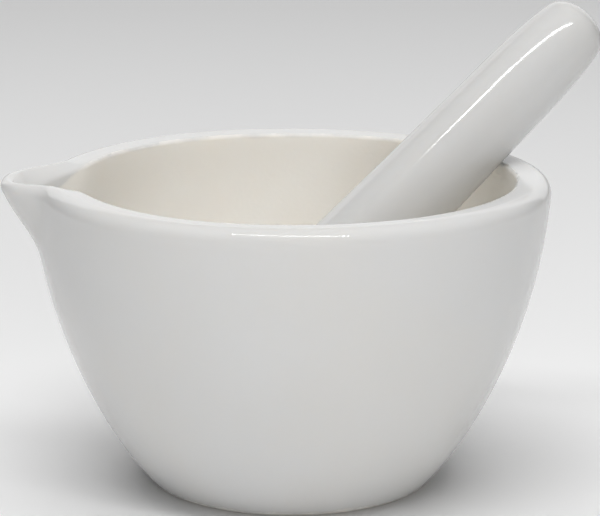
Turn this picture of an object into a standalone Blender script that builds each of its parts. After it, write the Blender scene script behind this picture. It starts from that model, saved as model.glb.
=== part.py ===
"""A laboratory mortar and pestle in porcelain: a bowl with a pouring lip, and a pestle resting in it.

Metres, +Z up. The origin is the centre of the mortar's flat base. The lip points along -X.
"""
import math

import bpy
from mathutils import Euler, Matrix, Vector

MM = 0.001

# Mortar, turned about Z
RIM_RADIUS = 65.0 * MM
HEIGHT = 78.5 * MM
BASE_FLAT_RADIUS = 33.0 * MM
BASE_EDGE_RADIUS = 4.3 * MM
WALL_LEAN_AT_BASE = math.radians(42.8)
WALL_LEAN_AT_RIM = math.radians(4.1)
WALL_PULL_AT_BASE = 0.20
WALL_PULL_AT_RIM = 0.43
RIM_OUTER_ROUND = 3.8 * MM
RIM_TOP_DROP = 0.4 * MM
RIM_INNER_ROUND = 1.1 * MM
MOUTH_RADIUS = 56.2 * MM
MOUTH_STRAIGHT = 3.3 * MM
FLOOR_THICKNESS = 11.0 * MM

# Pouring lip, pressed out of the rim along -X, which draws the rim in on both sides of it
LIP_DIRECTION = math.pi
LIP_REACH = 8.1 * MM
LIP_EXTRA_INSIDE = 2.0 * MM
LIP_DROP = 0.7 * MM
LIP_EDGE_LIFT = 0.4
LIP_EDGE_DEPTH = 6.0 * MM
LIP_DEPTH = 20.0 * MM
LIP_HALF_ANGLE_OUTSIDE = math.radians(11.2)
LIP_HALF_ANGLE_INSIDE = math.radians(11.5)
LIP_BLUNTNESS_OUTSIDE = 3.3
LIP_BLUNTNESS_INSIDE = 2.6
LIP_INSIDE_RADIUS = 61.0 * MM
LIP_INSIDE_BLEND = 5.0 * MM
LIP_CHANNEL_DROP = 4.5 * MM
LIP_CHANNEL_EDGE_RADIUS = 63.0 * MM
LIP_CHANNEL_SLOPE_WIDTH = 7.0 * MM
LIP_CHANNEL_HALF_ANGLE = math.radians(12.0)
WAIST_DEPTH = 2.2 * MM
WAIST_FULL_ANGLE = math.radians(22.0)
WAIST_END_ANGLE = math.radians(72.0)

# Pestle, turned about its own axis: distance from the handle's end, and radius there
PESTLE_LENGTH = 142.9 * MM
HANDLE_END_RADIUS = 9.0 * MM
HANDLE_END_DEPTH = 6.0 * MM
SHAFT_RADIUS = 10.6 * MM
SHAFT_AT = 30.0 * MM
NECK_RADIUS = 11.9 * MM
NECK_AT = 88.0 * MM
HEAD_RADIUS = 15.5 * MM
HEAD_END_DEPTH = 14.0 * MM
HANDLE_SWELL = 0.9 * MM
HANDLE_SWELL_DEPTH = 3.0 * MM
SHAFT_SLOPE = 0.6
NECK_SLOPE = 1.4

# Resting place of the pestle: it leans on the rim, and its head stands on the bowl's wall.
# The gap keeps the two bodies apart where their facets come closest.
LEAN_AZIMUTH = math.radians(22.8)
LEAN_ELEVATION = math.radians(41.3)
REST_FROM_HANDLE_END = 42.9 * MM
LEAN_SIDE_SHIFT = -2.0 * MM
CONTACT_GAP = 0.15 * MM

# Fineness of the turned surfaces
MORTAR_STEPS = 80
PESTLE_STEPS = 40
LIP_BUNCHING = 0.55
MERGE_DISTANCE = 1e-6

GLAZED_WHITE = (0.80, 0.80, 0.79, 1.0)
GLAZE_ROUGHNESS = 0.15


def arc(centre, radii, start, end, count):
    """Points along an elliptical arc, angles in degrees from +X."""
    points = []
    for i in range(count + 1):
        angle = math.radians(start + (end - start) * i / count)
        points.append((centre[0] + radii[0] * math.cos(angle), centre[1] + radii[1] * math.sin(angle)))
    return points


def bezier(start, start_pull, end_pull, end, count):
    """Points along a cubic Bezier curve."""
    points = []
    for i in range(count + 1):
        t = i / count
        weights = ((1 - t) ** 3, 3 * t * (1 - t) ** 2, 3 * t * t * (1 - t), t ** 3)
        knots = (start, start_pull, end_pull, end)
        points.append(tuple(sum(w * k[axis] for w, k in zip(weights, knots)) for axis in (0, 1)))
    return points


def smoothstep(t):
    t = min(max(t, 0.0), 1.0)
    return t * t * (3 - 2 * t)


def without_repeats(points):
    """The same points, with each one that lies on the one before it left out."""
    kept = [points[0]]
    for point in points[1:]:
        if math.dist(point, kept[-1]) > MERGE_DISTANCE:
            kept.append(point)
    return kept


def mortar_profile():
    """The bowl's section, from its floor up the inside, over the rim and down to the base."""
    rim_inner_z = HEIGHT - RIM_TOP_DROP - RIM_INNER_ROUND
    bowl_z = rim_inner_z - MOUTH_STRAIGHT
    inside = arc((0, bowl_z), (MOUTH_RADIUS, bowl_z - FLOOR_THICKNESS), -90, 0, 16)
    rim_inner_centre = (MOUTH_RADIUS + RIM_INNER_ROUND, rim_inner_z)
    rim_inner = arc(rim_inner_centre, (RIM_INNER_ROUND, RIM_INNER_ROUND), 180, 90, 4)

    rim_outer_centre = (RIM_RADIUS - RIM_OUTER_ROUND, HEIGHT - RIM_OUTER_ROUND)
    rim_lean = math.degrees(WALL_LEAN_AT_RIM)
    rim_outer = arc(rim_outer_centre, (RIM_OUTER_ROUND, RIM_OUTER_ROUND), 90, -rim_lean, 5)

    base_centre = (BASE_FLAT_RADIUS, BASE_EDGE_RADIUS)
    base_lean = math.degrees(WALL_LEAN_AT_BASE)
    base_edge = arc(base_centre, (BASE_EDGE_RADIUS, BASE_EDGE_RADIUS), -base_lean, -90, 4)

    top, bottom = rim_outer[-1], base_edge[0]
    span = math.dist(top, bottom)
    top_reach, bottom_reach = WALL_PULL_AT_RIM * span, WALL_PULL_AT_BASE * span
    top_pull = (top[0] - math.sin(WALL_LEAN_AT_RIM) * top_reach,
                top[1] - math.cos(WALL_LEAN_AT_RIM) * top_reach)
    bottom_pull = (bottom[0] + math.sin(WALL_LEAN_AT_BASE) * bottom_reach,
                   bottom[1] + math.cos(WALL_LEAN_AT_BASE) * bottom_reach)
    wall = bezier(top, top_pull, bottom_pull, bottom, 14)
    return without_repeats(inside + rim_inner + rim_outer + wall + base_edge + [(0, 0)])


def pestle_profile():
    """The pestle's section, with the handle's end at the origin and the head along -Z."""
    handle_end = arc((0, -HANDLE_END_DEPTH), (HANDLE_END_RADIUS, HANDLE_END_DEPTH), 90, 15, 6)
    head_z = -(PESTLE_LENGTH - HEAD_END_DEPTH)
    head_end = arc((0, head_z), (HEAD_RADIUS, HEAD_END_DEPTH), 0, -90, 7)
    shaft_start = (SHAFT_RADIUS, -SHAFT_AT)
    neck = (NECK_RADIUS, -NECK_AT)
    pull = (SHAFT_AT - HANDLE_END_DEPTH) / 2
    taper = (NECK_RADIUS - SHAFT_RADIUS) / (NECK_AT - SHAFT_AT)
    swell = (HANDLE_END_RADIUS + HANDLE_SWELL, -HANDLE_END_DEPTH - HANDLE_SWELL_DEPTH)
    handle = bezier(handle_end[-1], swell,
                    (SHAFT_RADIUS - taper * pull * SHAFT_SLOPE, -SHAFT_AT + pull), shaft_start, 5)
    shaft_pull = (NECK_AT - SHAFT_AT) / 3
    shaft = bezier(shaft_start, (SHAFT_RADIUS + taper * shaft_pull * SHAFT_SLOPE, -SHAFT_AT - shaft_pull),
                   (NECK_RADIUS - taper * shaft_pull * NECK_SLOPE, -NECK_AT + shaft_pull), neck, 4)
    head_pull = (-head_z - NECK_AT) / 3
    head = bezier(neck, (NECK_RADIUS + taper * head_pull * NECK_SLOPE, -NECK_AT - head_pull),
                  (HEAD_RADIUS, head_z + head_pull), (HEAD_RADIUS, head_z), 6)
    return without_repeats(handle_end + handle + shaft + head + head_end)


def turned(name, profile, steps):
    """A profile in the XZ plane, turned about Z by a Screw modifier."""
    mesh = bpy.data.meshes.new(name)
    points = [(x, 0, z) for x, z in profile]
    mesh.from_pydata(points, [(i, i + 1) for i in range(len(points) - 1)], [])
    obj = bpy.data.objects.new(name, mesh)
    screw = obj.modifiers.new("turn", "SCREW")
    screw.steps = steps
    screw.render_steps = steps
    screw.use_merge_vertices = True
    screw.merge_threshold = MERGE_DISTANCE
    screw.use_smooth_shade = True
    return obj


def pressed(point):
    """Where a point of the turned bowl goes when the lip is pressed out of it."""
    turn = math.atan2(point.y, point.x) - LIP_DIRECTION
    turn = math.atan2(math.sin(turn), math.cos(turn))
    turn -= LIP_BUNCHING * math.sin(turn)
    radius = math.hypot(point.x, point.y)
    inside = smoothstep((LIP_INSIDE_RADIUS - radius) / LIP_INSIDE_BLEND)
    half_angle = LIP_HALF_ANGLE_OUTSIDE + (LIP_HALF_ANGLE_INSIDE - LIP_HALF_ANGLE_OUTSIDE) * inside
    bluntness = LIP_BLUNTNESS_OUTSIDE + (LIP_BLUNTNESS_INSIDE - LIP_BLUNTNESS_OUTSIDE) * inside
    across = math.exp(-abs(turn / half_angle) ** bluntness)
    up = smoothstep((point.z - (HEIGHT - LIP_DEPTH)) / LIP_DEPTH)
    waist = smoothstep((WAIST_END_ANGLE - abs(turn)) / (WAIST_END_ANGLE - WAIST_FULL_ANGLE))
    reach = (LIP_REACH + WAIST_DEPTH + LIP_EXTRA_INSIDE * inside) * across - WAIST_DEPTH * waist
    original = radius
    radius += reach * up
    below_rim = HEIGHT - point.z
    lift = LIP_EDGE_LIFT * below_rim * math.exp(-(below_rim / LIP_EDGE_DEPTH) ** 2) * (1 - inside)
    into_channel = smoothstep((LIP_CHANNEL_EDGE_RADIUS - original) / LIP_CHANNEL_SLOPE_WIDTH)
    channel = LIP_CHANNEL_DROP * into_channel * up * math.exp(-(turn / LIP_CHANNEL_HALF_ANGLE) ** 2)
    height = point.z + (lift - LIP_DROP * up) * across - channel
    angle = turn + LIP_DIRECTION
    return Vector((radius * math.cos(angle), radius * math.sin(angle), height))


def make_mortar(collection):
    """The turned bowl made a mesh, with its points moved to form the lip."""
    turning = turned("mortar_turning", mortar_profile(), MORTAR_STEPS)
    collection.objects.link(turning)
    bpy.context.view_layer.update()
    evaluated = turning.evaluated_get(bpy.context.evaluated_depsgraph_get())
    mesh = bpy.data.meshes.new_from_object(evaluated)
    mesh.name = "mortar"
    bpy.data.objects.remove(turning)
    for vertex in mesh.vertices:
        vertex.co = pressed(vertex.co)
    mortar = bpy.data.objects.new("mortar", mesh)
    collection.objects.link(mortar)
    return mortar


def shaft_radius_at(distance):
    """The pestle's radius at a distance from the handle's end."""
    profile = pestle_profile()
    for (r0, z0), (r1, z1) in zip(profile, profile[1:]):
        if -z0 <= distance <= -z1:
            return r0 + (r1 - r0) * (distance + z0) / (z0 - z1)
    raise ValueError("the distance is beyond the pestle")


def rest_point():
    """The point of the pestle's axis that lies over its contact with the rim's inner round."""
    sine, cosine = math.sin(LEAN_ELEVATION), math.cos(LEAN_ELEVATION)
    reach = RIM_INNER_ROUND + shaft_radius_at(REST_FROM_HANDLE_END) + CONTACT_GAP
    radius = MOUTH_RADIUS + RIM_INNER_ROUND - reach * sine
    height = HEIGHT - RIM_TOP_DROP - RIM_INNER_ROUND + reach * cosine
    return Matrix.Rotation(LEAN_AZIMUTH, 3, "Z") @ Vector((radius, LEAN_SIDE_SHIFT, height))


def make_pestle(collection):
    """The turned pestle, leaning on the rim, under an empty that stands on its lift axis."""
    lift = bpy.data.objects.new("pestle_lift", None)
    lift.location = rest_point()
    collection.objects.link(lift)
    profile = [(r, z + REST_FROM_HANDLE_END) for r, z in pestle_profile()]
    pestle = turned("pestle", profile, PESTLE_STEPS)
    pestle.parent = lift
    pestle.rotation_euler = Euler((0, math.pi / 2 - LEAN_ELEVATION, LEAN_AZIMUTH))
    collection.objects.link(pestle)
    return pestle


def porcelain(name, colour, roughness):
    material = bpy.data.materials.new(name)
    material.use_nodes = True
    shader = material.node_tree.nodes["Principled BSDF"]
    shader.inputs["Base Color"].default_value = colour
    shader.inputs["Roughness"].default_value = roughness
    shader.inputs["Metallic"].default_value = 0.0
    return material


def main():
    for obj in list(bpy.data.objects):
        bpy.data.objects.remove(obj)
    collection = bpy.data.collections.new("mortar_and_pestle")
    bpy.context.scene.collection.children.link(collection)
    mortar = make_mortar(collection)
    pestle = make_pestle(collection)
    mortar.data.materials.append(porcelain("mortar_porcelain", GLAZED_WHITE, GLAZE_ROUGHNESS))
    pestle.data.materials.append(porcelain("pestle_porcelain", GLAZED_WHITE, GLAZE_ROUGHNESS))


main()
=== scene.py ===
"""A porcelain mortar with a pouring lip, and its pestle, on a pale floor in soft studio light.

Metres, +Z up. The origin is the centre of the mortar's base, and the lip points along -X.
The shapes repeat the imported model's own dimensions, turned and pressed much more finely.
"""
import math

import bpy
from mathutils import Matrix, Vector


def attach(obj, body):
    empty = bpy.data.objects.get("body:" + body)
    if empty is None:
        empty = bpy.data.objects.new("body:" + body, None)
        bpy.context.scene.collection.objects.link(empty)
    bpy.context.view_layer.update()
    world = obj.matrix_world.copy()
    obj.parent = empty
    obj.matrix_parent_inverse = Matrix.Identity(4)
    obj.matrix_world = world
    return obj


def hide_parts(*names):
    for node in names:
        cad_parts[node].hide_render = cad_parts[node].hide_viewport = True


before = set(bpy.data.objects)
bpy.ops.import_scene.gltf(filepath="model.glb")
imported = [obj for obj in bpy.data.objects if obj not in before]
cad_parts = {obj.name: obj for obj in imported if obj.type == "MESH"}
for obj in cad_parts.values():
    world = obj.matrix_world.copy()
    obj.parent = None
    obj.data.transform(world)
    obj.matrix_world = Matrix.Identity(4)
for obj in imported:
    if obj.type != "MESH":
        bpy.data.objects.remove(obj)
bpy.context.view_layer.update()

MM = 0.001

# Mortar, turned about Z
RIM_RADIUS = 65.0 * MM
HEIGHT = 78.5 * MM
BASE_FLAT_RADIUS = 33.0 * MM
BASE_EDGE_RADIUS = 4.3 * MM
WALL_LEAN_AT_BASE = math.radians(42.8)
WALL_LEAN_AT_RIM = math.radians(4.1)
WALL_PULL_AT_BASE = 0.20
WALL_PULL_AT_RIM = 0.43
RIM_OUTER_ROUND = 3.8 * MM
RIM_TOP_DROP = 0.4 * MM
RIM_INNER_ROUND = 1.1 * MM
MOUTH_RADIUS = 56.2 * MM
MOUTH_STRAIGHT = 3.3 * MM
FLOOR_THICKNESS = 11.0 * MM

# Pouring lip, pressed out of the rim along -X, which draws the rim in on both sides of it
LIP_DIRECTION = math.pi
LIP_REACH = 8.1 * MM
LIP_EXTRA_INSIDE = 2.0 * MM
LIP_DROP = 0.7 * MM
LIP_EDGE_LIFT = 0.4
LIP_EDGE_DEPTH = 6.0 * MM
LIP_DEPTH = 20.0 * MM
LIP_HALF_ANGLE_OUTSIDE = math.radians(11.2)
LIP_HALF_ANGLE_INSIDE = math.radians(11.5)
LIP_BLUNTNESS_OUTSIDE = 3.3
LIP_BLUNTNESS_INSIDE = 2.6
LIP_INSIDE_RADIUS = 61.0 * MM
LIP_INSIDE_BLEND = 5.0 * MM
LIP_CHANNEL_DROP = 4.5 * MM
LIP_CHANNEL_EDGE_RADIUS = 63.0 * MM
LIP_CHANNEL_SLOPE_WIDTH = 7.0 * MM
LIP_CHANNEL_HALF_ANGLE = math.radians(12.0)
WAIST_DEPTH = 2.2 * MM
WAIST_FULL_ANGLE = math.radians(22.0)
WAIST_END_ANGLE = math.radians(72.0)

# Pestle, turned about its own axis: distance from the handle's end, and radius there
PESTLE_LENGTH = 142.9 * MM
HANDLE_END_RADIUS = 9.0 * MM
HANDLE_END_DEPTH = 6.0 * MM
SHAFT_RADIUS = 10.6 * MM
SHAFT_AT = 30.0 * MM
NECK_RADIUS = 11.9 * MM
NECK_AT = 88.0 * MM
HEAD_RADIUS = 15.5 * MM
HEAD_END_DEPTH = 14.0 * MM
HANDLE_SWELL = 0.9 * MM
HANDLE_SWELL_DEPTH = 3.0 * MM
SHAFT_SLOPE = 0.6
NECK_SLOPE = 1.4

# Resting place of the pestle: it leans on the rim, and its head stands on the bowl's wall
LEAN_AZIMUTH = math.radians(22.8)
LEAN_ELEVATION = math.radians(41.3)
REST_FROM_HANDLE_END = 42.9 * MM
LEAN_SIDE_SHIFT = -2.0 * MM
CONTACT_GAP = 0.15 * MM

# Fineness of the turned surfaces: steps round the axis, and spans along each part of the profile
MORTAR_STEPS = 288
BOWL_SPANS = 72
RIM_INNER_SPANS = 10
RIM_OUTER_SPANS = 20
WALL_SPANS = 64
BASE_EDGE_SPANS = 14
BASE_SPANS = 12
PESTLE_STEPS = 128
HANDLE_END_SPANS = 24
HANDLE_SPANS = 20
SHAFT_SPANS = 24
HEAD_SPANS = 24
HEAD_END_SPANS = 28
LIP_BUNCHING = 0.55
MERGE_DISTANCE = 1e-6

# Where the glaze ends: inside the rim, lower in the lip, at the foot, and on the pestle's head.
# The edge's width and raggedness are in millimetres, as the meshes' "bare" attribute is.
MORTAR_GLAZE_LINE = 77.8 * MM
GLAZE_DIP_AT_LIP = 14.0 * MM
GLAZE_DIP_HALF_ANGLE = math.radians(8.0)
INNER_SKIN = 2.0 * MM
FOOT_GLAZE_LINE = 1.2 * MM
PESTLE_GLAZE_LINE = 100.0 * MM
GLAZE_EDGE_WIDTH = 0.9
GLAZE_RAGGEDNESS = 0.5

# Colours
MORTAR_GLAZE = (0.73, 0.73, 0.725, 1)
PESTLE_GLAZE = (0.67, 0.67, 0.665, 1)
BARE_BODY = (0.90, 0.88, 0.835, 1)
SPECK = (0.42, 0.36, 0.29, 1)
GLAZE_WARMTH = (1.0, 0.985, 0.96)
USE_STAIN = (0.985, 0.96, 0.93)
FLOOR = (0.90, 0.90, 0.90, 1)

# Sizes of the surface detail: noise and cells per metre, heights in metres, roughness ranges
CLOUD_SCALE = 22.0
RAGGED_SCALE = 160.0
GRAIN_SCALE = 900.0
SHINE_SCALE = 45.0
WAVE_SCALE = 30.0
SPECK_SCALE = 110.0
SPECK_RARITY = 0.985
SPECK_CORE, SPECK_EDGE, SPECK_STRENGTH = 0.02, 0.06, 0.55
GLAZE_ROUGHNESS = (0.05, 0.09)
BARE_ROUGHNESS = (0.55, 0.70)
WAVE_HEIGHT = 0.16 * MM
GRAIN_HEIGHT = 0.05 * MM
GLAZE_THICKNESS = 0.12 * MM
TRANSLUCENCY = 0.25
TRANSLUCENCY_RADIUS = (1.0, 0.9, 0.8)
TRANSLUCENCY_SCALE = 3.0 * MM
REFRACTION = 1.5

# Camera
CAMERA_AIM = Vector((2.3 * MM, 0, 56.9 * MM))
CAMERA_DISTANCE = 727.5 * MM
CAMERA_ELEVATION = math.radians(13.2)
CAMERA_ROLL = math.radians(0.15)
CAMERA_LENS = 173.3
CAMERA_SENSOR = 36.0
CAMERA_CLIP_START = 10.0 * MM

# Studio: place, aim, width and height, power, turn about its own axis, and whether gloss shows it
FLOOR_SIZE = 20.0
FLOOR_ROUGHNESS = 0.9
AMBIENT = 0.06
LIGHTS = {
    "overhead": ((-0.03, 0.0, 1.3), (0, 0, 0.05), (1.4, 1.4), 13.3, 0.0, False),
    "strip": ((0.03, -0.52, 1.05), (0.02, 0, 0.07), (0.8, 0.06), 3.3, math.radians(-17), True),
    "front": ((0.15, -1.5, 0.32), (0, 0, 0.05), (0.7, 0.7), 7.0, 0.0, False),
    "backdrop": ((0, 2.25, 0.97), (0, 0, 0.45), (3.6, 1.8), 16.0, 0.0, True),
}


def arc(centre, radii, start, end, count):
    """Points along an elliptical arc, angles in degrees from +X."""
    points = []
    for i in range(count + 1):
        angle = math.radians(start + (end - start) * i / count)
        points.append((centre[0] + radii[0] * math.cos(angle), centre[1] + radii[1] * math.sin(angle)))
    return points


def bezier(start, start_pull, end_pull, end, count):
    """Points along a cubic Bezier curve."""
    points = []
    for i in range(count + 1):
        t = i / count
        weights = ((1 - t) ** 3, 3 * t * (1 - t) ** 2, 3 * t * t * (1 - t), t ** 3)
        knots = (start, start_pull, end_pull, end)
        points.append(tuple(sum(w * k[axis] for w, k in zip(weights, knots)) for axis in (0, 1)))
    return points


def smoothstep(t):
    t = min(max(t, 0.0), 1.0)
    return t * t * (3 - 2 * t)


def without_repeats(points):
    """The same points, with each one that lies on the one before it left out."""
    kept = [points[0]]
    for point in points[1:]:
        if math.dist(point, kept[-1]) > MERGE_DISTANCE:
            kept.append(point)
    return kept


def mortar_profile():
    """The bowl's section, from its floor up the inside, over the rim and down to the base."""
    rim_inner_z = HEIGHT - RIM_TOP_DROP - RIM_INNER_ROUND
    bowl_z = rim_inner_z - MOUTH_STRAIGHT
    inside = arc((0, bowl_z), (MOUTH_RADIUS, bowl_z - FLOOR_THICKNESS), -90, 0, BOWL_SPANS)
    rim_inner_centre = (MOUTH_RADIUS + RIM_INNER_ROUND, rim_inner_z)
    rim_inner = arc(rim_inner_centre, (RIM_INNER_ROUND, RIM_INNER_ROUND), 180, 90, RIM_INNER_SPANS)
    rim_outer_centre = (RIM_RADIUS - RIM_OUTER_ROUND, HEIGHT - RIM_OUTER_ROUND)
    rim_lean = math.degrees(WALL_LEAN_AT_RIM)
    rim_outer_radii = (RIM_OUTER_ROUND, RIM_OUTER_ROUND)
    rim_outer = arc(rim_outer_centre, rim_outer_radii, 90, -rim_lean, RIM_OUTER_SPANS)
    base_centre = (BASE_FLAT_RADIUS, BASE_EDGE_RADIUS)
    base_lean = math.degrees(WALL_LEAN_AT_BASE)
    base_radii = (BASE_EDGE_RADIUS, BASE_EDGE_RADIUS)
    base_edge = arc(base_centre, base_radii, -base_lean, -90, BASE_EDGE_SPANS)
    top, bottom = rim_outer[-1], base_edge[0]
    span = math.dist(top, bottom)
    top_reach, bottom_reach = WALL_PULL_AT_RIM * span, WALL_PULL_AT_BASE * span
    top_pull = (top[0] - math.sin(WALL_LEAN_AT_RIM) * top_reach,
                top[1] - math.cos(WALL_LEAN_AT_RIM) * top_reach)
    bottom_pull = (bottom[0] + math.sin(WALL_LEAN_AT_BASE) * bottom_reach,
                   bottom[1] + math.cos(WALL_LEAN_AT_BASE) * bottom_reach)
    wall = bezier(top, top_pull, bottom_pull, bottom, WALL_SPANS)
    base = [(BASE_FLAT_RADIUS * (1 - i / BASE_SPANS), 0) for i in range(1, BASE_SPANS + 1)]
    return without_repeats(inside + rim_inner + rim_outer + wall + base_edge + base)


def pestle_profile():
    """The pestle's section, with the handle's end at the origin and the head along -Z."""
    handle_end_radii = (HANDLE_END_RADIUS, HANDLE_END_DEPTH)
    handle_end = arc((0, -HANDLE_END_DEPTH), handle_end_radii, 90, 15, HANDLE_END_SPANS)
    head_z = -(PESTLE_LENGTH - HEAD_END_DEPTH)
    head_end = arc((0, head_z), (HEAD_RADIUS, HEAD_END_DEPTH), 0, -90, HEAD_END_SPANS)
    shaft_start = (SHAFT_RADIUS, -SHAFT_AT)
    neck = (NECK_RADIUS, -NECK_AT)
    pull = (SHAFT_AT - HANDLE_END_DEPTH) / 2
    taper = (NECK_RADIUS - SHAFT_RADIUS) / (NECK_AT - SHAFT_AT)
    swell = (HANDLE_END_RADIUS + HANDLE_SWELL, -HANDLE_END_DEPTH - HANDLE_SWELL_DEPTH)
    handle = bezier(handle_end[-1], swell,
                    (SHAFT_RADIUS - taper * pull * SHAFT_SLOPE, -SHAFT_AT + pull),
                    shaft_start, HANDLE_SPANS)
    shaft_pull = (NECK_AT - SHAFT_AT) / 3
    shaft = bezier(shaft_start, (SHAFT_RADIUS + taper * shaft_pull * SHAFT_SLOPE, -SHAFT_AT - shaft_pull),
                   (NECK_RADIUS - taper * shaft_pull * NECK_SLOPE, -NECK_AT + shaft_pull),
                   neck, SHAFT_SPANS)
    head_pull = (-head_z - NECK_AT) / 3
    head = bezier(neck, (NECK_RADIUS + taper * head_pull * NECK_SLOPE, -NECK_AT - head_pull),
                  (HEAD_RADIUS, head_z + head_pull), (HEAD_RADIUS, head_z), HEAD_SPANS)
    return without_repeats(handle_end + handle + shaft + head + head_end)


def turned_mesh(name, profile, steps):
    """The mesh that a profile in the XZ plane makes when it is turned about Z."""
    guide_mesh = bpy.data.meshes.new(name + "_profile")
    points = [(x, 0, z) for x, z in profile]
    guide_mesh.from_pydata(points, [(i, i + 1) for i in range(len(points) - 1)], [])
    guide = bpy.data.objects.new(name + "_profile", guide_mesh)
    bpy.context.scene.collection.objects.link(guide)
    screw = guide.modifiers.new("turn", "SCREW")
    screw.steps = steps
    screw.render_steps = steps
    screw.use_merge_vertices = True
    screw.merge_threshold = MERGE_DISTANCE
    screw.use_smooth_shade = True
    bpy.context.view_layer.update()
    mesh = bpy.data.meshes.new_from_object(guide.evaluated_get(bpy.context.evaluated_depsgraph_get()))
    mesh.name = name
    bpy.data.objects.remove(guide)
    return mesh


def lip_turn(point):
    """How far round from the lip a point ends up, with the mesh lines bunched at the lip."""
    turn = math.atan2(point.y, point.x) - LIP_DIRECTION
    turn = math.atan2(math.sin(turn), math.cos(turn))
    return turn - LIP_BUNCHING * math.sin(turn)


def pressed(point):
    """Where a point of the turned bowl goes when the lip is pressed out of it."""
    turn = lip_turn(point)
    radius = math.hypot(point.x, point.y)
    inside = smoothstep((LIP_INSIDE_RADIUS - radius) / LIP_INSIDE_BLEND)
    half_angle = LIP_HALF_ANGLE_OUTSIDE + (LIP_HALF_ANGLE_INSIDE - LIP_HALF_ANGLE_OUTSIDE) * inside
    bluntness = LIP_BLUNTNESS_OUTSIDE + (LIP_BLUNTNESS_INSIDE - LIP_BLUNTNESS_OUTSIDE) * inside
    across = math.exp(-abs(turn / half_angle) ** bluntness)
    up = smoothstep((point.z - (HEIGHT - LIP_DEPTH)) / LIP_DEPTH)
    waist = smoothstep((WAIST_END_ANGLE - abs(turn)) / (WAIST_END_ANGLE - WAIST_FULL_ANGLE))
    reach = (LIP_REACH + WAIST_DEPTH + LIP_EXTRA_INSIDE * inside) * across - WAIST_DEPTH * waist
    below_rim = HEIGHT - point.z
    lift = LIP_EDGE_LIFT * below_rim * math.exp(-(below_rim / LIP_EDGE_DEPTH) ** 2) * (1 - inside)
    into_channel = smoothstep((LIP_CHANNEL_EDGE_RADIUS - radius) / LIP_CHANNEL_SLOPE_WIDTH)
    channel = LIP_CHANNEL_DROP * into_channel * up * math.exp(-(turn / LIP_CHANNEL_HALF_ANGLE) ** 2)
    height = point.z + (lift - LIP_DROP * up) * across - channel
    radius += reach * up
    angle = turn + LIP_DIRECTION
    return Vector((radius * math.cos(angle), radius * math.sin(angle), height))


def store_bareness(mesh, values):
    """Keeps how far beyond the glaze's edge each point lies, in millimetres, for the material."""
    attribute = mesh.attributes.new("bare", "FLOAT", "POINT")
    attribute.data.foreach_set("value", values)


def is_inside(radius, z):
    """Whether a point of the turned bowl is on the inner side of the rim's crest."""
    bowl_z = HEIGHT - RIM_TOP_DROP - RIM_INNER_ROUND - MOUTH_STRAIGHT
    if z > bowl_z:
        return radius < MOUTH_RADIUS + RIM_INNER_ROUND
    depth = (bowl_z - z) / (bowl_z - FLOOR_THICKNESS)
    inner_radius = MOUTH_RADIUS * math.sqrt(max(0.0, 1 - depth * depth))
    return radius < inner_radius + INNER_SKIN and z > FLOOR_THICKNESS / 2


def mortar_bareness(point):
    """Millimetres beyond the glaze's edge: down inside the bowl, or under the foot."""
    if not is_inside(math.hypot(point.x, point.y), point.z):
        return (FOOT_GLAZE_LINE - point.z) / MM
    dip = GLAZE_DIP_AT_LIP * math.exp(-(lip_turn(point) / GLAZE_DIP_HALF_ANGLE) ** 2)
    return (MORTAR_GLAZE_LINE - dip - point.z) / MM


def make_mortar():
    mesh = turned_mesh("mortar_body", mortar_profile(), MORTAR_STEPS)
    store_bareness(mesh, [mortar_bareness(vertex.co) for vertex in mesh.vertices])
    for vertex in mesh.vertices:
        vertex.co = pressed(vertex.co)
    return bpy.data.objects.new("mortar_body", mesh)


def shaft_radius_at(distance):
    """The pestle's radius at a distance from the handle's end."""
    profile = pestle_profile()
    for (r0, z0), (r1, z1) in zip(profile, profile[1:]):
        if -z0 <= distance <= -z1:
            return r0 + (r1 - r0) * (distance + z0) / (z0 - z1)
    raise ValueError("the distance is beyond the pestle")


def rest_point():
    """The point of the pestle's axis that lies over its contact with the rim's inner round."""
    sine, cosine = math.sin(LEAN_ELEVATION), math.cos(LEAN_ELEVATION)
    reach = RIM_INNER_ROUND + shaft_radius_at(REST_FROM_HANDLE_END) + CONTACT_GAP
    radius = MOUTH_RADIUS + RIM_INNER_ROUND - reach * sine
    height = HEIGHT - RIM_TOP_DROP - RIM_INNER_ROUND + reach * cosine
    return Matrix.Rotation(LEAN_AZIMUTH, 3, "Z") @ Vector((radius, LEAN_SIDE_SHIFT, height))


def make_pestle():
    mesh = turned_mesh("pestle_body", pestle_profile(), PESTLE_STEPS)
    store_bareness(mesh, [(-vertex.co.z - PESTLE_GLAZE_LINE) / MM for vertex in mesh.vertices])
    tilt = Matrix.Rotation(math.pi / 2 - LEAN_ELEVATION, 4, "Y")
    lean = Matrix.Rotation(LEAN_AZIMUTH, 4, "Z") @ tilt
    slide = Matrix.Translation((0, 0, REST_FROM_HANDLE_END))
    mesh.transform(Matrix.Translation(rest_point()) @ lean @ slide)
    return bpy.data.objects.new("pestle_body", mesh)


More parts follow.
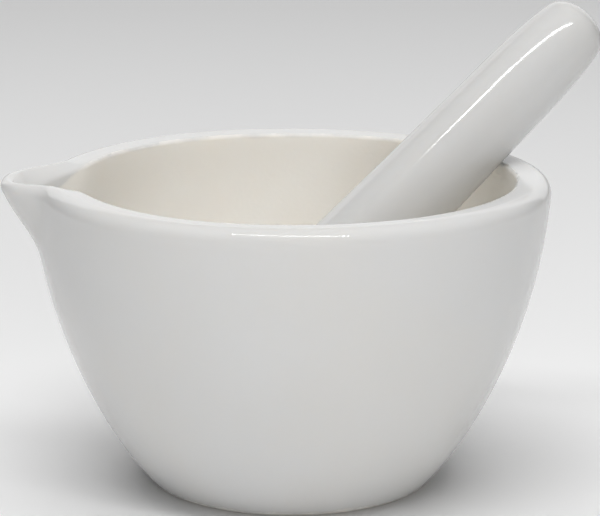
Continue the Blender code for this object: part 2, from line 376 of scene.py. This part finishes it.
class Nodes:
    """A material's node tree, with short ways to add and join nodes."""

    def __init__(self, material):
        material.use_nodes = True
        self.tree = material.node_tree
        self.shader = self.tree.nodes["Principled BSDF"]
        self.where = self.tree.nodes.new("ShaderNodeTexCoord").outputs["Object"]

    def put(self, socket, value):
        if isinstance(value, bpy.types.NodeSocket):
            self.tree.links.new(value, socket)
        else:
            socket.default_value = value

    def noise(self, scale, detail=2.0):
        node = self.tree.nodes.new("ShaderNodeTexNoise")
        node.inputs["Scale"].default_value = scale
        node.inputs["Detail"].default_value = detail
        self.put(node.inputs["Vector"], self.where)
        return node.outputs["Fac"]

    def math(self, operation, a, b):
        node = self.tree.nodes.new("ShaderNodeMath")
        node.operation = operation
        self.put(node.inputs[0], a)
        self.put(node.inputs[1], b)
        return node.outputs[0]

    def ramp(self, value, from_min, from_max, to_min, to_max):
        node = self.tree.nodes.new("ShaderNodeMapRange")
        node.interpolation_type = "SMOOTHSTEP"
        values = (value, from_min, from_max, to_min, to_max)
        for name, item in zip(("Value", "From Min", "From Max", "To Min", "To Max"), values):
            self.put(node.inputs[name], item)
        return node.outputs["Result"]

    def mix(self, factor, a, b):
        node = self.tree.nodes.new("ShaderNodeMix")
        node.data_type = "RGBA"
        for name, item in zip(("Factor_Float", "A_Color", "B_Color"), (factor, a, b)):
            self.put(next(s for s in node.inputs if s.identifier == name), item)
        return next(s for s in node.outputs if s.identifier == "Result_Color")


def tinted(colour, tint):
    return tuple(c * t for c, t in zip(colour, tint)) + (1,)


def body_colour(n, bare, glaze):
    """Clouded glaze, faintly stained bare body, and a rare dark speck in either."""
    clouds = n.noise(CLOUD_SCALE, 4.0)
    glazed = n.mix(n.ramp(clouds, 0.35, 0.7, 0.0, 0.7), glaze, tinted(glaze, GLAZE_WARMTH))
    stained = n.mix(n.ramp(clouds, 0.35, 0.7, 0.0, 0.8), BARE_BODY, tinted(BARE_BODY, USE_STAIN))
    cells = n.tree.nodes.new("ShaderNodeTexVoronoi")
    cells.inputs["Scale"].default_value = SPECK_SCALE
    n.put(cells.inputs["Vector"], n.where)
    chance = n.tree.nodes.new("ShaderNodeSeparateColor")
    n.put(chance.inputs["Color"], cells.outputs["Color"])
    rare = n.math("GREATER_THAN", chance.outputs["Red"], SPECK_RARITY)
    dot = n.ramp(cells.outputs["Distance"], SPECK_CORE, SPECK_EDGE, SPECK_STRENGTH, 0.0)
    return n.mix(n.math("MULTIPLY", rare, dot), n.mix(bare, glazed, stained), SPECK)


def roughness(n, bare):
    shine = n.ramp(n.noise(SHINE_SCALE), 0.3, 0.7, *GLAZE_ROUGHNESS)
    matt = n.ramp(n.noise(GRAIN_SCALE), 0.3, 0.7, *BARE_ROUGHNESS)
    glazed_part = n.math("MULTIPLY", n.math("SUBTRACT", 1.0, bare), shine)
    return n.math("ADD", n.math("MULTIPLY", bare, matt), glazed_part)


def relief(n, bare):
    """The glaze's slight waves, the bare body's grain, and the step where the glaze ends."""
    waves = n.math("MULTIPLY", n.noise(WAVE_SCALE), WAVE_HEIGHT)
    grain = n.math("MULTIPLY", n.math("MULTIPLY", n.noise(GRAIN_SCALE), bare), GRAIN_HEIGHT)
    step = n.math("MULTIPLY", bare, -GLAZE_THICKNESS)
    bump = n.tree.nodes.new("ShaderNodeBump")
    bump.inputs["Distance"].default_value = 1.0
    n.put(bump.inputs["Height"], n.math("ADD", n.math("ADD", waves, grain), step))
    return bump.outputs["Normal"]


def porcelain(name, glaze):
    """White glaze that ends in a slightly ragged line, and beyond it the bare, matt, warmer body."""
    material = bpy.data.materials.new(name)
    n = Nodes(material)
    beyond_glaze = n.tree.nodes.new("ShaderNodeAttribute")
    beyond_glaze.attribute_name = "bare"
    ragged = n.ramp(n.noise(RAGGED_SCALE, 3.0), 0.25, 0.75, -GLAZE_RAGGEDNESS, GLAZE_RAGGEDNESS)
    edge = n.math("ADD", beyond_glaze.outputs["Fac"], ragged)
    bare = n.ramp(edge, -GLAZE_EDGE_WIDTH, GLAZE_EDGE_WIDTH, 0.0, 1.0)
    n.put(n.shader.inputs["Base Color"], body_colour(n, bare, glaze))
    n.put(n.shader.inputs["Roughness"], roughness(n, bare))
    n.put(n.shader.inputs["Normal"], relief(n, bare))
    n.shader.inputs["IOR"].default_value = REFRACTION
    n.shader.inputs["Subsurface Weight"].default_value = TRANSLUCENCY
    n.shader.inputs["Subsurface Radius"].default_value = TRANSLUCENCY_RADIUS
    n.shader.inputs["Subsurface Scale"].default_value = TRANSLUCENCY_SCALE
    return material


def add_piece(piece, body, slot, glaze):
    """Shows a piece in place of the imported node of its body, in the porcelain of its slot."""
    bpy.context.scene.collection.objects.link(piece)
    piece.data.materials.append(porcelain(slot, glaze))
    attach(piece, body)
    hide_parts(body)


def make_floor():
    bpy.ops.mesh.primitive_plane_add(size=FLOOR_SIZE)
    floor = bpy.context.object
    floor.name = "floor"
    paper = bpy.data.materials.new("floor_paper")
    paper.use_nodes = True
    shader = paper.node_tree.nodes["Principled BSDF"]
    shader.inputs["Base Color"].default_value = FLOOR
    shader.inputs["Roughness"].default_value = FLOOR_ROUGHNESS
    floor.data.materials.append(paper)


def make_world():
    world = bpy.data.worlds.new("studio")
    world.use_nodes = True
    background = world.node_tree.nodes["Background"]
    background.inputs["Color"].default_value = (1, 1, 1, 1)
    background.inputs["Strength"].default_value = AMBIENT
    bpy.context.scene.world = world


def facing(place, aim):
    """The rotation that points an object's -Z from one place to another, with its X level."""
    return (Vector(aim) - Vector(place)).to_track_quat("-Z", "Y")


def add_light(name, place, aim, size, power, turn, in_gloss):
    data = bpy.data.lights.new(name, "AREA")
    data.shape = "RECTANGLE"
    data.size, data.size_y = size
    data.energy = power
    light = bpy.data.objects.new(name, data)
    light.location = place
    light.rotation_euler = facing(place, aim).to_euler()
    light.rotation_euler.rotate_axis("Z", turn)
    light.visible_camera = False
    light.visible_glossy = in_gloss
    bpy.context.scene.collection.objects.link(light)


def make_camera():
    data = bpy.data.cameras.new("camera")
    data.sensor_width = CAMERA_SENSOR
    data.lens = CAMERA_LENS
    data.clip_start = CAMERA_CLIP_START
    camera = bpy.data.objects.new("camera", data)
    back = Vector((0, -math.cos(CAMERA_ELEVATION), math.sin(CAMERA_ELEVATION)))
    camera.location = CAMERA_AIM + CAMERA_DISTANCE * back
    camera.rotation_euler = facing(camera.location, CAMERA_AIM).to_euler()
    camera.rotation_euler.rotate_axis("Z", CAMERA_ROLL)
    bpy.context.scene.collection.objects.link(camera)
    bpy.context.scene.camera = camera


add_piece(make_mortar(), "mortar", "mortar_porcelain", MORTAR_GLAZE)
add_piece(make_pestle(), "pestle", "pestle_porcelain", PESTLE_GLAZE)
make_floor()
make_world()
make_camera()
for light_name, settings in LIGHTS.items():
    add_light(light_name, *settings)
bpy.context.scene.view_settings.view_transform = "Standard"
